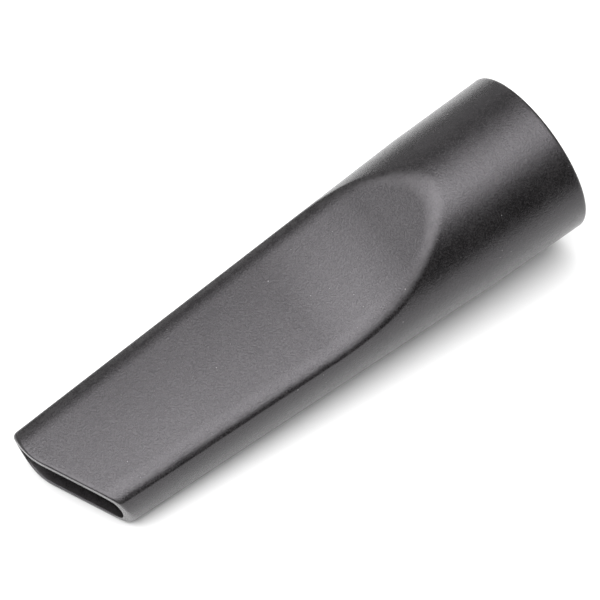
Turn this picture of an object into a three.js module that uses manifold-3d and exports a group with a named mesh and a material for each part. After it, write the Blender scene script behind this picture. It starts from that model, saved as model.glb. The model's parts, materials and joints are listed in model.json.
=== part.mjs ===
// Crevice nozzle of a small vacuum cleaner: one hollow moulding, millimetres, +Z up.
// It is drawn in its own frame first, with the socket's axis along X, the socket's open end at X = 0
// and the mouth towards -X, and is then laid down on the surface it rests on.
import * as THREE from 'three';
import { mergeVertices } from 'three/addons/utils/BufferGeometryUtils.js';
import Module from 'manifold-3d';

// Driving dimensions.
const WALL = 2;
const SOCKET_RADIUS = 19.5;       // outside, at the open end
const SOCKET_LENGTH = 24;         // nearly parallel stretch over the hose cuff
const SHOULDER_RADIUS = 19.05;    // outside, where the socket ends and the cone begins
const BODY_LENGTH = 127;          // open end of the socket to the tip of the mouth
const TIP_RADIUS = 14.35;         // the cone's outside radius at the tip
const BORE_CHAMFER = 0.6;         // lead-in at the socket's open end

const FLAT_HALF_HEIGHT = 7.5;     // axis to the flat faces above and below
const RIDGE_DISTANCE = 28.8;      // open end of the socket to the crest of each scoop
const RAMP_ANGLE = THREE.MathUtils.degToRad(26);
const RAMP_BLEND = 35;            // radius that joins the ramp to the flat face

const LIP_ANGLE = THREE.MathUtils.degToRad(25);   // the mouth's slant, seen from above
const TIP_FACET_START = 6.6;      // the slant starts this far to the +Y side of the axis

// Facets and cutting margins.
const ROUND_SEGMENTS = 72;
const BLEND_SEGMENTS = 8;
const MARGIN = 4;                 // how far a cutter runs past the piece that it cuts

const PLASTIC = new THREE.MeshStandardMaterial({ color: 0x3f3d3e, roughness: 0.55, metalness: 0 });

const CONE_SLOPE = (SHOULDER_RADIUS - TIP_RADIUS) / (BODY_LENGTH - SOCKET_LENGTH);
const wasm = await Module();
wasm.setup();

// The outside radius of the cone behind the socket, at a distance from the socket's open end.
function coneRadius(distance) {
  return SHOULDER_RADIUS - CONE_SLOPE * (distance - SOCKET_LENGTH);
}

// A closed three.js geometry as a manifold solid.
function toSolid(geometry) {
  const bare = geometry.index ? geometry.toNonIndexed() : geometry.clone();
  bare.deleteAttribute('normal');
  bare.deleteAttribute('uv');
  const merged = mergeVertices(bare, 1e-4);
  return new wasm.Manifold(new wasm.Mesh({
    numProp: 3,
    vertProperties: new Float32Array(merged.attributes.position.array),
    triVerts: new Uint32Array(merged.index.array),
  }));
}

// A manifold solid as a three.js geometry.
function toGeometry(solid) {
  const mesh = solid.getMesh();
  const geometry = new THREE.BufferGeometry();
  geometry.setAttribute('position', new THREE.BufferAttribute(mesh.vertProperties, mesh.numProp));
  geometry.setIndex(new THREE.BufferAttribute(mesh.triVerts, 1));
  return geometry;
}

// A solid of revolution about the X axis, from [distance along X, radius] pairs.
function revolve(profile) {
  const points = profile.map(([x, radius]) => new THREE.Vector2(radius, x));
  const geometry = new THREE.LatheGeometry(points, ROUND_SEGMENTS);
  geometry.rotateZ(-Math.PI / 2);
  return toSolid(geometry);
}

// The round body without its scoops: the socket, then the cone out past the tip.
function roundBody() {
  const past = BODY_LENGTH + MARGIN;
  return revolve([
    [-past, 0],
    [-past, coneRadius(past)],
    [-SOCKET_LENGTH, SHOULDER_RADIUS],
    [0, SOCKET_RADIUS],
    [0, 0],
  ]);
}

// The round space inside it, one wall smaller, open past both ends.
function roundSpace() {
  const past = BODY_LENGTH + 2 * MARGIN;
  const boreRadius = SOCKET_RADIUS - WALL;
  return revolve([
    [-past, 0],
    [-past, coneRadius(past) - WALL],
    [-SOCKET_LENGTH, SHOULDER_RADIUS - WALL],
    [-BORE_CHAMFER, boreRadius],
    [0, boreRadius + BORE_CHAMFER],
    [MARGIN, boreRadius + BORE_CHAMFER],
    [MARGIN, 0],
  ]);
}

// The side view that scoops the round body above and below: a flat face from the mouth, a wide
// blend, then a straight ramp up to the crest. The space inside uses the same view, one wall in.
function scoopedSlab(inset) {
  const crestHeight = coneRadius(RIDGE_DISTANCE);
  const rise = crestHeight - FLAT_HALF_HEIGHT - RAMP_BLEND * (1 - Math.cos(RAMP_ANGLE));
  const rampRun = rise / Math.tan(RAMP_ANGLE);
  const blendStart = -RIDGE_DISTANCE - rampRun - RAMP_BLEND * Math.sin(RAMP_ANGLE);
  const blendHeight = FLAT_HALF_HEIGHT + RAMP_BLEND;
  const radius = RAMP_BLEND + inset;
  const farLeft = -BODY_LENGTH - 3 * MARGIN;
  const top = SOCKET_RADIUS + MARGIN;

  const upper = [new THREE.Vector2(farLeft, FLAT_HALF_HEIGHT - inset)];
  for (let i = 0; i <= BLEND_SEGMENTS; i += 1) {
    const turn = (RAMP_ANGLE * i) / BLEND_SEGMENTS;
    upper.push(new THREE.Vector2(
      blendStart + radius * Math.sin(turn),
      blendHeight - radius * Math.cos(turn),
    ));
  }
  const rampFoot = upper[upper.length - 1];
  upper.push(new THREE.Vector2(rampFoot.x + (top - rampFoot.y) / Math.tan(RAMP_ANGLE), top));
  upper.push(new THREE.Vector2(2 * MARGIN, top));
  const lower = upper.map((point) => new THREE.Vector2(point.x, -point.y)).reverse();

  const depth = 2 * (SOCKET_RADIUS + MARGIN);
  const geometry = new THREE.ExtrudeGeometry(new THREE.Shape([...upper, ...lower]), {
    depth,
    bevelEnabled: false,
  });
  geometry.translate(0, 0, -depth / 2);
  geometry.rotateX(Math.PI / 2);
  return toSolid(geometry);
}

// What the mouth's cut takes away, seen from above: a short square tip, then the long slant.
function mouthCutter() {
  const side = SOCKET_RADIUS + MARGIN;
  const slantEnd = -BODY_LENGTH + Math.tan(LIP_ANGLE) * (TIP_FACET_START + side);
  const farLeft = -BODY_LENGTH - 4 * MARGIN;
  const outline = new THREE.Shape([
    new THREE.Vector2(farLeft, side),
    new THREE.Vector2(farLeft, -side),
    new THREE.Vector2(slantEnd, -side),
    new THREE.Vector2(-BODY_LENGTH, TIP_FACET_START),
    new THREE.Vector2(-BODY_LENGTH, side),
  ]);
  const geometry = new THREE.ExtrudeGeometry(outline, { depth: 2 * side, bevelEnabled: false });
  geometry.translate(0, 0, -side);
  return toSolid(geometry);
}

function nozzleBody() {
  const outside = roundBody().intersect(scoopedSlab(0));
  const inside = roundSpace().intersect(scoopedSlab(WALL));
  const solid = outside.subtract(inside).subtract(mouthCutter());
  const mesh = new THREE.Mesh(toGeometry(solid), PLASTIC);
  mesh.name = 'nozzle_body';
  return mesh;
}

// It lies on the slanted part of its lower lip and on the crest of its lower scoop, so it leans
// about the lip's line. The up direction is worked out in the nozzle's own frame.
function restingUp() {
  const lipToCrest = (BODY_LENGTH - RIDGE_DISTANCE) * Math.cos(LIP_ANGLE)
    - TIP_FACET_START * Math.sin(LIP_ANGLE);
  const lean = Math.atan((coneRadius(RIDGE_DISTANCE) - FLAT_HALF_HEIGHT) / lipToCrest);
  return new THREE.Vector3(
    Math.sin(lean) * Math.cos(LIP_ANGLE),
    Math.sin(lean) * Math.sin(LIP_ANGLE),
    Math.cos(lean),
  );
}

// The whole part, lying down, with the origin on the surface under the middle of its box.
function layDown(piece) {
  const leaning = new THREE.Group();
  leaning.add(piece);
  leaning.quaternion.setFromUnitVectors(restingUp(), new THREE.Vector3(0, 0, 1));
  leaning.updateMatrixWorld(true);
  const box = new THREE.Box3().setFromObject(leaning, true);
  const middle = box.getCenter(new THREE.Vector3());
  leaning.position.set(-middle.x, -middle.y, -box.min.z);
  const part = new THREE.Group();
  part.add(leaning);
  part.updateMatrixWorld(true);
  return part;
}

export default layDown(nozzleBody());
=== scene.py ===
"""A moulded crevice nozzle of a small vacuum cleaner, lying on a pale table under soft studio light."""

import json
import math

import bpy
import numpy as np
from mathutils import Matrix, Vector


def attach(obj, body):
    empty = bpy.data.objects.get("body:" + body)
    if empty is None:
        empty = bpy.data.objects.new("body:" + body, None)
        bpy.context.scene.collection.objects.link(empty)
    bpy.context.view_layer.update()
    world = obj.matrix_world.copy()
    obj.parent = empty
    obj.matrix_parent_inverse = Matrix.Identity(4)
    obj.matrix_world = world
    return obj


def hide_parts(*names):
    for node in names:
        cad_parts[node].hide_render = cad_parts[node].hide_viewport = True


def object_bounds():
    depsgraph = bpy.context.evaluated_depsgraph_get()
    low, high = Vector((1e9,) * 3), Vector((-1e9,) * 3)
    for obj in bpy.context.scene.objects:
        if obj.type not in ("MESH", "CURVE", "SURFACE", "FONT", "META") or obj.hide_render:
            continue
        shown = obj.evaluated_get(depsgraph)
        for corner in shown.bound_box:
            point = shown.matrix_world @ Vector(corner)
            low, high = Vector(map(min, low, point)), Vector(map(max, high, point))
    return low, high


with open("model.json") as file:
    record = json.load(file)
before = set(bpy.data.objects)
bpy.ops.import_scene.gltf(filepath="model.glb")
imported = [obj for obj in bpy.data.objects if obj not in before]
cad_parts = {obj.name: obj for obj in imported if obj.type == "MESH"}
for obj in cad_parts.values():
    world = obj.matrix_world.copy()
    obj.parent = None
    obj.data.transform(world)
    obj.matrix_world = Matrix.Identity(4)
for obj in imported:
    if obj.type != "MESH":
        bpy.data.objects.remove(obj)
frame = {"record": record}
CAD_LOW, CAD_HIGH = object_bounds()

MM = 0.001

# The nozzle's driving dimensions, in millimetres, in its own frame: the socket's axis along X, the
# socket's open end at X = 0 and the mouth towards -X. Distances are counted from the open end.
WALL = 2.0
SOCKET_RADIUS = 19.5
SOCKET_LENGTH = 24.0
SHOULDER_RADIUS = 19.05
BODY_LENGTH = 127.0
TIP_RADIUS = 14.35
FLAT_HALF_HEIGHT = 7.5
RIDGE_DISTANCE = 28.8
RAMP_ANGLE = math.radians(26)
RAMP_BLEND = 55.0           # the plain solid has 35 mm, which is at most 0.25 mm away
LIP_ANGLE = math.radians(25)
TIP_FACET_START = 6.6       # the slant starts this far to the +Y side of the axis
SOCKET_CHAMFER = 0.6        # the plain solid's lead-in inside the socket's open end
CONE_SLOPE = (SHOULDER_RADIUS - TIP_RADIUS) / (BODY_LENGTH - SOCKET_LENGTH)

# Fine form that the moulding has and the plain solid leaves out. Pairs are the two distances
# between which one size turns into the other.
SKIN_DEPTH = 0.015          # the round skin is kept this far inside the plain solid
RIDGE_SOFTNESS = 1.2        # how far the cone and the scoop's ramp melt into each other, at the crest
EDGE_SOFTNESS = 3.2         # and the cone and the flats
SOFTNESS_CHANGES = (35, 52)
FACE_CROWN = 0.5            # the faces fall this much from their middle to their edges
LIP_CROWN = 0.17            # and this much at the mouth
CROWN_GROWS = (RIDGE_DISTANCE + 3, RIDGE_DISTANCE + 30)
CROWN_FADES = (100, BODY_LENGTH)
CROWN_REACH = 1.2           # the crown's curve ends this many half widths from the middle
FACE_RISE = 1.3             # the faces' middle stands this many crowns over the plain flat
LIP_RISE = 0.8              # and this many near the mouth
RISE_CHANGES = (85, 112)
TIP_SOFTNESS = 1.5          # rounding of the mouth's outline where the slant begins
LIP_OUTER_ROUND = 0.45
LIP_CORNER_ROUND = 1.2      # at the leading corner of the mouth
LIP_CORNER_SINES = (0.62, 0.86)     # sines of the angles where that rounding starts and is full
LIP_LOWER_ROUND = 1.2       # along the lower lip, which slides over floors
LIP_LOWER_SHARPNESS = 2.5   # how quickly the upper lip's rounding turns into the lower lip's
LIP_INNER_ROUND = 0.25
SOCKET_OUTER_ROUND = 0.7
SOCKET_INNER_ROUND = 0.6

# Rubbing: full within the first distance of an edge, and none past the second.
CREASE_WEAR = (0.2, 1.6)
LIP_WEAR = (0.4, 1.4)
RIM_WEAR = (0.3, 1.2)
OUTSIDE_FADES = (WALL * 0.6, WALL * 0.9)    # depths between which the outside's grain ends

# Mesh density.
COLUMNS = 400
OUTER_ROWS = 150
INNER_ROWS = 70
ROUND_STEPS = 5
COLUMN_GATHER = (62, 9, 2.4)                    # degrees from upright, width, extra columns
ROW_GATHERS = ((35, 10, 1.5), (55, 12, 0.4))    # distance, width, extra rows
PLAIN_ROWS = 0.35           # rows elsewhere
STRETCH_START = 90.0        # from here on, rows are stretched to end on the mouth's slant
END_ROUNDS = 12             # rounds in which each line's end settles on the mouth's cut
WEIGHING_STEPS = 4001       # points at which the closeness of rows or columns is worked out
LIP_STEP = 0.2              # how far back from the lip a skin's direction there is measured
LEAST_COSINE = 1e-3         # keeps a flat's height from being divided by 0 at the sides
LEAST_HALF_WIDTH = 1.0      # and a place across a face by the width of a face that isn't there


def smooth_min(first, second, softness):
    """The lower of two heights, with the corner between them rounded over the given softness."""
    near = np.maximum(softness - np.abs(first - second), 0) / softness
    return np.minimum(first, second) - near * near * softness / 4


def cone_radius(distance):
    """Outside radius of the round body, before the scoops."""
    socket = SOCKET_RADIUS + (SHOULDER_RADIUS - SOCKET_RADIUS) * distance / SOCKET_LENGTH
    cone = SHOULDER_RADIUS - CONE_SLOPE * (distance - SOCKET_LENGTH)
    return np.where(distance < SOCKET_LENGTH, socket, cone)


def scoop_height(distance, inset):
    """Height of the scooped face over the axis: flat, then a wide blend, then a straight ramp."""
    crest = float(cone_radius(np.array(RIDGE_DISTANCE)))
    rise = crest - FLAT_HALF_HEIGHT - RAMP_BLEND * (1 - math.cos(RAMP_ANGLE))
    blend_start = RIDGE_DISTANCE + rise / math.tan(RAMP_ANGLE) + RAMP_BLEND * math.sin(RAMP_ANGLE)
    along = blend_start - distance
    radius = RAMP_BLEND + inset
    centre = FLAT_HALF_HEIGHT + RAMP_BLEND
    foot = radius * math.sin(RAMP_ANGLE)
    flat = np.full_like(along, FLAT_HALF_HEIGHT - inset)
    blend = centre - np.sqrt(np.maximum(radius**2 - np.clip(along, 0, foot) ** 2, 0))
    ramp = centre - radius * math.cos(RAMP_ANGLE) + (along - foot) * math.tan(RAMP_ANGLE)
    return np.where(along < 0, flat, np.where(along < foot, blend, ramp))


def ease(value, low, high):
    """A smooth step from 0 at low to 1 at high."""
    share = np.clip((value - low) / (high - low), 0, 1)
    return share * share * (3 - 2 * share)


def turn_into(distance, limits, first, second):
    """A size that goes smoothly from the first value to the second between two distances."""
    return first + (second - first) * ease(distance, *limits)


def upright_share(angle):
    """How nearly upright a direction round the axis is: 1 straight up or down, about 0 sideways."""
    return np.maximum(np.abs(np.cos(angle)), LEAST_COSINE)


def skin_radius(distance, angle, inset):
    """Distance from the axis to the outer skin (inset 0) or the inner skin (inset WALL)."""
    round_radius = cone_radius(distance) - inset - SKIN_DEPTH
    height = scoop_height(distance, inset)
    crown = turn_into(distance, CROWN_FADES, FACE_CROWN, LIP_CROWN)
    crown = crown * ease(distance, *CROWN_GROWS)
    rise = turn_into(distance, RISE_CHANGES, FACE_RISE, LIP_RISE)
    softness = turn_into(distance, SOFTNESS_CHANGES, RIDGE_SOFTNESS, EDGE_SOFTNESS)
    half_width = np.sqrt(np.maximum(round_radius**2 - height**2, LEAST_HALF_WIDTH**2))
    across = np.minimum(height * np.abs(np.tan(angle)), round_radius) / half_width
    crowned = height + crown * (rise - np.clip(across, 0, CROWN_REACH) ** 2)
    return smooth_min(round_radius, crowned / upright_share(angle), softness)


def lip_distance(across):
    """Distance of the mouth's cut from the socket's open end, at a place across the nozzle."""
    slant = BODY_LENGTH - math.tan(LIP_ANGLE) * (TIP_FACET_START - across)
    return smooth_min(np.full_like(across, BODY_LENGTH), slant, TIP_SOFTNESS)


def place(distance, angle, radius):
    """Points of the nozzle's own frame, from a distance, an angle from +Z towards +Y and a radius."""
    return np.stack([-distance, radius * np.sin(angle), radius * np.cos(angle)], -1)


def spread(count, weight, low, high, closed):
    """Values from low to high, closer together where the weight function is larger."""
    fine = np.linspace(low, high, WEIGHING_STEPS)
    share = np.concatenate([[0], np.cumsum(weight((fine[1:] + fine[:-1]) / 2))])
    wanted = np.linspace(0, share[-1], count, endpoint=closed)
    return np.interp(wanted, share, fine)


def bell(value, middle, width):
    """1 at the middle, falling smoothly to 0 on both sides."""
    return np.exp(-(((value - middle) / width) ** 2))


def column_weight(angle):
    """Columns gather where the creases run for most of the nozzle's length."""
    middle, width, extra = COLUMN_GATHER
    from_upright = np.degrees(np.arccos(np.abs(np.cos(angle))))
    return 1 + extra * bell(from_upright, middle, width)


def row_weight(distance):
    """Rows gather round the crest of the scoops, and a little at the blend."""
    weight = PLAIN_ROWS
    for middle, width, extra in ROW_GATHERS:
        weight = weight + extra * bell(distance, middle, width)
    return weight


def end_distances(angle, inset):
    """Where each lengthwise line of a skin meets the mouth's cut."""
    distance = np.full_like(angle, BODY_LENGTH)
    for _ in range(END_ROUNDS):
        across = skin_radius(distance, angle, inset) * np.sin(angle)
        distance = lip_distance(across)
    return distance


def skin_rows(count, angle, inset, first, trim):
    """Rows of a skin from the socket to just short of the mouth's cut."""
    base = spread(count, row_weight, first, BODY_LENGTH, True)[:, None]
    ends = (end_distances(angle, inset) - trim)[None, :]
    stretch = (ends - STRETCH_START) / (BODY_LENGTH - STRETCH_START)
    stretched = STRETCH_START + (base - STRETCH_START) * stretch
    distance = np.where(base < STRETCH_START, base, stretched)
    angles = np.broadcast_to(angle, distance.shape)
    return place(distance, angles, skin_radius(distance, angles, inset))


def unit(vectors):
    """The vectors, each scaled to a length of 1."""
    return vectors / np.linalg.norm(vectors, axis=-1, keepdims=True)


def rounded_edge(edge, along, face, size):
    """Rows that round an edge off, from its skin (in the along direction) to its end face."""
    rows = []
    for i in range(ROUND_STEPS + 1):
        turn = math.pi / 2 * i / ROUND_STEPS
        rows.append(edge + size * ((1 - math.sin(turn)) * along + (1 - math.cos(turn)) * face))
    return np.stack(rows)


def lip_round(angle):
    """Size of the rounding along the outside of the lip."""
    corner = ease(np.sin(angle), *LIP_CORNER_SINES)
    lower = np.clip(0.5 - LIP_LOWER_SHARPNESS * np.cos(angle), 0, 1)
    rise = (LIP_LOWER_ROUND - LIP_OUTER_ROUND) * lower
    return LIP_OUTER_ROUND + np.maximum(rise, (LIP_CORNER_ROUND - LIP_OUTER_ROUND) * corner)


def mouth_rows(angle):
    """The lip: outer rounding, flat rim, inner rounding, from the outer skin to the inner one."""
    edges = []
    for inset in (0, WALL):
        ends = end_distances(angle, inset)
        edge = place(ends, angle, skin_radius(ends, angle, inset))
        before = ends - LIP_STEP
        back = place(before, angle, skin_radius(before, angle, inset))
        edges.append((edge, unit(back - edge)))
    (outer, outer_along), (inner, inner_along) = edges
    face = unit(inner - outer)
    outside = rounded_edge(outer, outer_along, face, lip_round(angle)[:, None])
    inside = rounded_edge(inner, inner_along, -face, LIP_INNER_ROUND)[::-1]
    middle = (outside[-1] + inside[0]) / 2
    return np.concatenate([outside, middle[None], inside])


def socket_rows(angle):
    """The socket's rim, from the inner skin to the outer one."""
    along = np.array([-1.0, 0.0, 0.0])
    start = np.zeros_like(angle)
    inner = place(start, angle, skin_radius(start, angle, WALL))
    outer = place(start, angle, skin_radius(start, angle, 0))
    face = unit(outer - inner)
    inside = rounded_edge(inner, along, face, SOCKET_INNER_ROUND)
    outside = rounded_edge(outer, along, -face, SOCKET_OUTER_ROUND)[::-1]
    middle = (inside[-1] + outside[0]) / 2
    return np.concatenate([inside, middle[None], outside])


def nozzle_to_row():
    """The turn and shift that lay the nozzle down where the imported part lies."""
    facet_shift = TIP_FACET_START * math.sin(LIP_ANGLE)
    lip_to_crest = (BODY_LENGTH - RIDGE_DISTANCE) * math.cos(LIP_ANGLE) - facet_shift
    crest = float(cone_radius(np.array(RIDGE_DISTANCE)))
    lean = math.atan((crest - FLAT_HALF_HEIGHT) / lip_to_crest)
    up = Vector((
        math.sin(lean) * math.cos(LIP_ANGLE),
        math.sin(lean) * math.sin(LIP_ANGLE),
        math.cos(lean),
    ))
    turn = up.rotation_difference(Vector((0, 0, 1))).to_matrix()
    mount = frame["record"]["mounts"][0]
    shift = Vector(mount["pos_m"]) - turn @ (mount_place() * MM)
    return np.array(turn), np.array(shift)


def mount_place():
    """The mount's point in the nozzle's frame: on the flat of the socket's rim, at its +Y side."""
    return Vector((0, SOCKET_RADIUS - (WALL - SOCKET_CHAMFER) / 2, 0))


def grid_mesh(name, rows):
    """A closed mesh from rows of points, joined round and from the last row back to the first."""
    count, columns = rows.shape[:2]
    vertices = rows.reshape(-1, 3)
    faces = []
    for i in range(count):
        below = i * columns
        above = ((i + 1) % count) * columns
        for j in range(columns):
            k = (j + 1) % columns
            faces.append((below + j, below + k, above + k, above + j))
    mesh = bpy.data.meshes.new(name)
    mesh.from_pydata(vertices.tolist(), [], faces)
    mesh.shade_smooth()
    mesh.update()
    return mesh


def outside_share(points):
    """1 on the outside of the nozzle and 0 on the walls of its duct, where the mould is smooth."""
    distance = -points[..., 0]
    angle = np.arctan2(points[..., 1], points[..., 2])
    depth = skin_radius(distance, angle, 0) - np.hypot(points[..., 1], points[..., 2])
    return 1 - ease(depth, *OUTSIDE_FADES)


def edge_wear(points):
    """How much a place is rubbed, from 0 to 1: most along creases, ridges, the lip and the rim."""
    distance = -points[..., 0]
    angle = np.arctan2(points[..., 1], points[..., 2])
    radius = np.hypot(points[..., 1], points[..., 2])
    face_radius = scoop_height(distance, 0) / upright_share(angle)
    crease = 1 - ease(np.abs(cone_radius(distance) - face_radius), *CREASE_WEAR)
    outside = radius > skin_radius(distance, angle, WALL / 2)
    lip = 1 - ease(lip_distance(points[..., 1]) - distance, *LIP_WEAR)
    rim = 1 - ease(distance, *RIM_WEAR)
    return np.maximum(crease * outside, np.maximum(lip, rim))


def make_nozzle():
    """The moulding's whole surface as one closed mesh, with what its material needs to know."""
    angle = spread(COLUMNS, column_weight, 0, 2 * math.pi, False)
    outer = skin_rows(OUTER_ROWS, angle, 0, SOCKET_OUTER_ROUND * 2, lip_round(angle) + LIP_OUTER_ROUND)
    inner = skin_rows(INNER_ROWS, angle, WALL, SOCKET_INNER_ROUND * 2, LIP_INNER_ROUND * 2)[::-1]
    rows = np.concatenate([outer, mouth_rows(angle), inner, socket_rows(angle)])
    turn, shift = nozzle_to_row()
    mesh = grid_mesh("nozzle_moulding", rows * MM @ turn.T + shift)
    for name, measure in (("edge_wear", edge_wear), ("outside", outside_share)):
        attribute = mesh.attributes.new(name, "FLOAT", "POINT")
        attribute.data.foreach_set("value", measure(rows).ravel())
    piece = bpy.data.objects.new("nozzle_moulding", mesh)
    bpy.context.scene.collection.objects.link(piece)
    return piece


def math_node(tree, operation, *values):
    """A math node fed with numbers or with other nodes' outputs. Returns its output."""
    node = tree.nodes.new("ShaderNodeMath")
    node.operation = operation
    for socket, value in zip(node.inputs, values):
        if isinstance(value, (int, float)):
            socket.default_value = value
        else:
            tree.links.new(value, socket)
    return node.outputs["Value"]


def noise(tree, place, scale, detail=2.0, roughness=0.5):
    """A noise texture with about this many features per millimetre. Returns its value."""
    node = tree.nodes.new("ShaderNodeTexNoise")
    tree.links.new(place, node.inputs["Vector"])
    node.inputs["Scale"].default_value = scale
    node.inputs["Detail"].default_value = detail
    node.inputs["Roughness"].default_value = roughness
    return node.outputs["Fac"]


def remap(tree, value, low, high, new_low, new_high, smooth=False):
    """A value moved from one range to another, and kept inside it. Returns the new value."""
    node = tree.nodes.new("ShaderNodeMapRange")
    node.interpolation_type = "SMOOTHSTEP" if smooth else "LINEAR"
    tree.links.new(value, node.inputs["Value"])
    limits = ("From Min", low), ("From Max", high), ("To Min", new_low), ("To Max", new_high)
    for name, limit in limits:
        node.inputs[name].default_value = limit
    return node.outputs["Result"]


def blend_colour(tree, share, low, high):
    """A colour between two, each given as numbers or as another node's output."""
    node = tree.nodes.new("ShaderNodeMix")
    node.data_type = "RGBA"
    tree.links.new(share, node.inputs["Factor"])
    for socket, colour in ((node.inputs[6], low), (node.inputs[7], high)):
        if isinstance(colour, tuple):
            socket.default_value = (*colour, 1)
        else:
            tree.links.new(colour, socket)
    return node.outputs[2]


# The plastic. Scales are features per millimetre, and tones run from 0 (dark) to 1 (light).
DARK_PLASTIC = (0.003, 0.0028, 0.0029)
LIGHT_PLASTIC = (0.024, 0.0226, 0.0233)
RUBBED_PLASTIC = (0.05, 0.048, 0.049)
SPECK_COLOUR = (0.15, 0.147, 0.147)
GLOSS_TINT = (0.985, 0.945, 1.0, 1)
GRAIN_SCALE = 2.6           # the spark-eroded grain
PIT_SCALE = 8.5             # finer pits on the grain
BLOTCH_SCALE = 0.5          # handling marks
CLOUD_SCALE = 0.09          # slow drift of the tone
MIDDLE_VALUES = (0.35, 0.65)    # the middle part of a noise's values
MOST_VALUES = (0.3, 0.7)        # and nearly all of them
CLOUD_TONE = 0.12
BLOTCH_TONE = 0.1
SPECK_CELLS = 0.35          # cells that may hold a light fleck, per millimetre
SPECK_EDGE = (0.035, 0.06)  # from a fleck's middle, in cells, where it begins to fade and ends
SPECK_SHARE = 0.5           # the share of the cells left without one
LEAST_WEAR = 0.35           # rubbing is patchy, from this to 1
WEAR_TONE = 0.5             # how far full rubbing changes the colour
DARK_ROUGHNESS = 0.29       # where the grain is dark
LIGHT_ROUGHNESS = 0.15      # and where it is light
BLOTCH_ROUGHNESS = 0.03
WEAR_ROUGHNESS = -0.03
SPECK_ROUGHNESS = 0.3
PIT_RELIEF = 0.35           # reliefs are shares of the grain's
SPECK_RELIEF = 0.4
DUCT_RELIEF = 0.25          # the mould's core is polished, so the duct's walls are smoother
BUMP_STRENGTH = 0.8
BUMP_DEPTH = 0.085 * MM


def light_specks(tree, place):
    """Sparse light flecks in the plastic, a quarter of a millimetre across. Returns their mask."""
    cells = tree.nodes.new("ShaderNodeTexVoronoi")
    tree.links.new(place, cells.inputs["Vector"])
    cells.inputs["Scale"].default_value = SPECK_CELLS
    near = remap(tree, cells.outputs["Distance"], *SPECK_EDGE, 1.0, 0.0, smooth=True)
    chosen = tree.nodes.new("ShaderNodeSeparateColor")
    tree.links.new(cells.outputs["Color"], chosen.inputs["Color"])
    few = math_node(tree, "GREATER_THAN", chosen.outputs[0], SPECK_SHARE)
    return math_node(tree, "MULTIPLY", near, few)


def point_value(tree, name):
    """A value stored at the mesh's points."""
    node = tree.nodes.new("ShaderNodeAttribute")
    node.attribute_name = name
    return node.outputs["Fac"]


def millimetres(tree):
    """The place on the object, in millimetres."""
    scaled = tree.nodes.new("ShaderNodeVectorMath")
    scaled.operation = "SCALE"
    scaled.inputs["Scale"].default_value = 1 / MM
    tree.links.new(tree.nodes.new("ShaderNodeTexCoord").outputs["Object"], scaled.inputs[0])
    return scaled.outputs["Vector"]


def nozzle_plastic():
    """Dark grey moulded plastic with a fine spark-eroded grain, rubbed a little along its edges."""
    material = bpy.data.materials.new("moulded_plastic")
    material.use_nodes = True
    tree = material.node_tree
    shader = tree.nodes["Principled BSDF"]
    place = millimetres(tree)

    grain = noise(tree, place, GRAIN_SCALE, detail=3, roughness=0.65)
    pits = noise(tree, place, PIT_SCALE, detail=2, roughness=0.6)
    cloud = noise(tree, place, CLOUD_SCALE, detail=3)
    blotch = noise(tree, place, BLOTCH_SCALE, detail=3, roughness=0.6)
    specks = light_specks(tree, place)
    patchy = remap(tree, blotch, *MIDDLE_VALUES, LEAST_WEAR, 1.0)
    wear = math_node(tree, "MULTIPLY", point_value(tree, "edge_wear"), patchy)

    tone = remap(tree, grain, *MIDDLE_VALUES, 0.0, 1.0)
    tone = math_node(tree, "ADD", tone, remap(tree, cloud, *MOST_VALUES, -CLOUD_TONE, CLOUD_TONE))
    tone = math_node(tree, "ADD", tone, remap(tree, blotch, *MOST_VALUES, -BLOTCH_TONE, BLOTCH_TONE))
    rubbed = math_node(tree, "MULTIPLY", wear, WEAR_TONE)
    colour = blend_colour(tree, tone, DARK_PLASTIC, LIGHT_PLASTIC)
    colour = blend_colour(tree, rubbed, colour, RUBBED_PLASTIC)
    colour = blend_colour(tree, specks, colour, SPECK_COLOUR)
    tree.links.new(colour, shader.inputs["Base Color"])

    roughness = remap(tree, grain, *MOST_VALUES, DARK_ROUGHNESS, LIGHT_ROUGHNESS)
    uneven = remap(tree, blotch, *MOST_VALUES, -BLOTCH_ROUGHNESS, BLOTCH_ROUGHNESS)
    roughness = math_node(tree, "ADD", roughness, uneven)
    roughness = math_node(tree, "MULTIPLY_ADD", wear, WEAR_ROUGHNESS, roughness)
    roughness = math_node(tree, "MULTIPLY_ADD", specks, SPECK_ROUGHNESS, roughness)
    tree.links.new(roughness, shader.inputs["Roughness"])

    relief = math_node(tree, "MULTIPLY_ADD", pits, PIT_RELIEF, grain)
    relief = math_node(tree, "MULTIPLY_ADD", specks, SPECK_RELIEF, relief)
    outside = point_value(tree, "outside")
    depth = math_node(tree, "MULTIPLY_ADD", outside, 1 - DUCT_RELIEF, DUCT_RELIEF)
    relief = math_node(tree, "MULTIPLY", relief, depth)
    bump = tree.nodes.new("ShaderNodeBump")
    bump.inputs["Strength"].default_value = BUMP_STRENGTH
    bump.inputs["Distance"].default_value = BUMP_DEPTH
    tree.links.new(relief, bump.inputs["Height"])
    tree.links.new(bump.outputs["Normal"], shader.inputs["Normal"])
    shader.inputs["Specular Tint"].default_value = GLOSS_TINT
    return material


# The table and the studio.
TABLE_HALF_WIDTH = 0.2      # in metres
TABLE_COLOUR = (0.85, 0.85, 0.85, 1)
TABLE_ROUGHNESS = 0.7
SOFTBOXES = (
    # azimuth, elevation, width and strength of each soft light; the angles are in degrees
    (280, 84, 18, 5.2),
    (280, 84, 32, 3.0),
    (24, 68, 11, 6.4),
    (203, 73, 12, 1.5),
    (229, 65, 12, 3.5),
    (240, 44, 14, 2.8),
    (270, 48, 14, 2.2),
    (163, 17, 14, 1.3),
)


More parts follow.
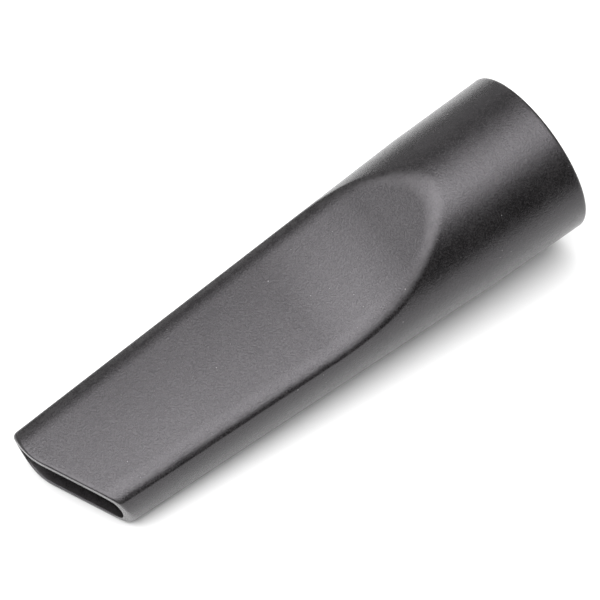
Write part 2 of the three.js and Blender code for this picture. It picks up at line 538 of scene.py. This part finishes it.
def make_floor():
    """A small white table: beyond its edge the studio is dark, as the nozzle's flanks show."""
    mesh = bpy.data.meshes.new("table")
    half = TABLE_HALF_WIDTH
    corners = [(-half, -half, 0), (half, -half, 0), (half, half, 0), (-half, half, 0)]
    mesh.from_pydata(corners, [], [(0, 1, 2, 3)])
    floor = bpy.data.objects.new("table", mesh)
    bpy.context.scene.collection.objects.link(floor)
    material = bpy.data.materials.new("table")
    material.use_nodes = True
    shader = material.node_tree.nodes["Principled BSDF"]
    shader.inputs["Base Color"].default_value = TABLE_COLOUR
    shader.inputs["Roughness"].default_value = TABLE_ROUGHNESS
    mesh.materials.append(material)
    return floor


def direction(azimuth, elevation):
    """The direction of a light or a camera, from the nozzle: azimuth 0 is -Y and 90 is +X."""
    turn = math.radians(azimuth)
    lift = math.radians(elevation)
    level = math.cos(lift)
    return Vector((math.sin(turn) * level, -math.cos(turn) * level, math.sin(lift)))


def make_world():
    """A dim studio with broad soft lights, most of them overhead, in front of a pale backdrop.

    A light's glow falls to about a third at its width from its middle.
    """
    world = bpy.data.worlds.new("studio")
    world.use_nodes = True
    tree = world.node_tree
    background = tree.nodes["Background"]
    background.inputs["Color"].default_value = (1, 1, 1, 1)
    towards = tree.nodes.new("ShaderNodeTexCoord").outputs["Generated"]
    total = 0.0
    for azimuth, elevation, width, strength in SOFTBOXES:
        sharpness = 2 / math.radians(width) ** 2
        facing = tree.nodes.new("ShaderNodeVectorMath")
        facing.operation = "DOT_PRODUCT"
        tree.links.new(towards, facing.inputs[0])
        facing.inputs[1].default_value = direction(azimuth, elevation)
        falloff = math_node(tree, "MULTIPLY_ADD", facing.outputs["Value"], sharpness, -sharpness)
        glow = math_node(tree, "EXPONENT", falloff)
        total = math_node(tree, "MULTIPLY_ADD", glow, strength, total)
    seen = tree.nodes.new("ShaderNodeLightPath").outputs["Is Camera Ray"]
    shown = math_node(tree, "MAXIMUM", total, seen)
    tree.links.new(shown, background.inputs["Strength"])
    bpy.context.scene.world = world


# The camera: angles in degrees, the lens and the sensor in millimetres and the rest in metres.
CAMERA_AZIMUTH = -35.82
CAMERA_ELEVATION = 59.4
CAMERA_ROLL = 0.75
CAMERA_DISTANCE = 0.4092
CAMERA_LENS = 116.8
SENSOR_WIDTH = 36
NEAREST_SEEN = 0.01
FARTHEST_SEEN = 20
AIM_OFFSET = (0.0001, 0.0003)      # how far the nozzle sits to the right of and below the middle


def make_camera():
    """The camera, aimed at the nozzle from above its front and its mouth."""
    data = bpy.data.cameras.new("camera")
    data.sensor_width = SENSOR_WIDTH
    data.lens = CAMERA_LENS
    data.clip_start = NEAREST_SEEN
    data.clip_end = FARTHEST_SEEN
    camera = bpy.data.objects.new("camera", data)
    bpy.context.scene.collection.objects.link(camera)
    back = direction(CAMERA_AZIMUTH, CAMERA_ELEVATION)
    level = Vector((0, 0, 1)).cross(back).normalized()
    roll = Matrix.Rotation(math.radians(-CAMERA_ROLL), 3, back)
    right = roll @ level
    up = back.cross(right)
    aim = (CAD_LOW + CAD_HIGH) / 2 - right * AIM_OFFSET[0] + up * AIM_OFFSET[1]
    pose = Matrix((right, up, back)).transposed().to_4x4()
    pose.translation = aim + back * CAMERA_DISTANCE
    camera.matrix_world = pose
    bpy.context.scene.camera = camera


nozzle = make_nozzle()
nozzle.data.materials.append(nozzle_plastic())
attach(nozzle, "root")
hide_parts("nozzle_body")
make_floor()
make_world()
make_camera()
bpy.context.scene.view_settings.view_transform = "Standard"
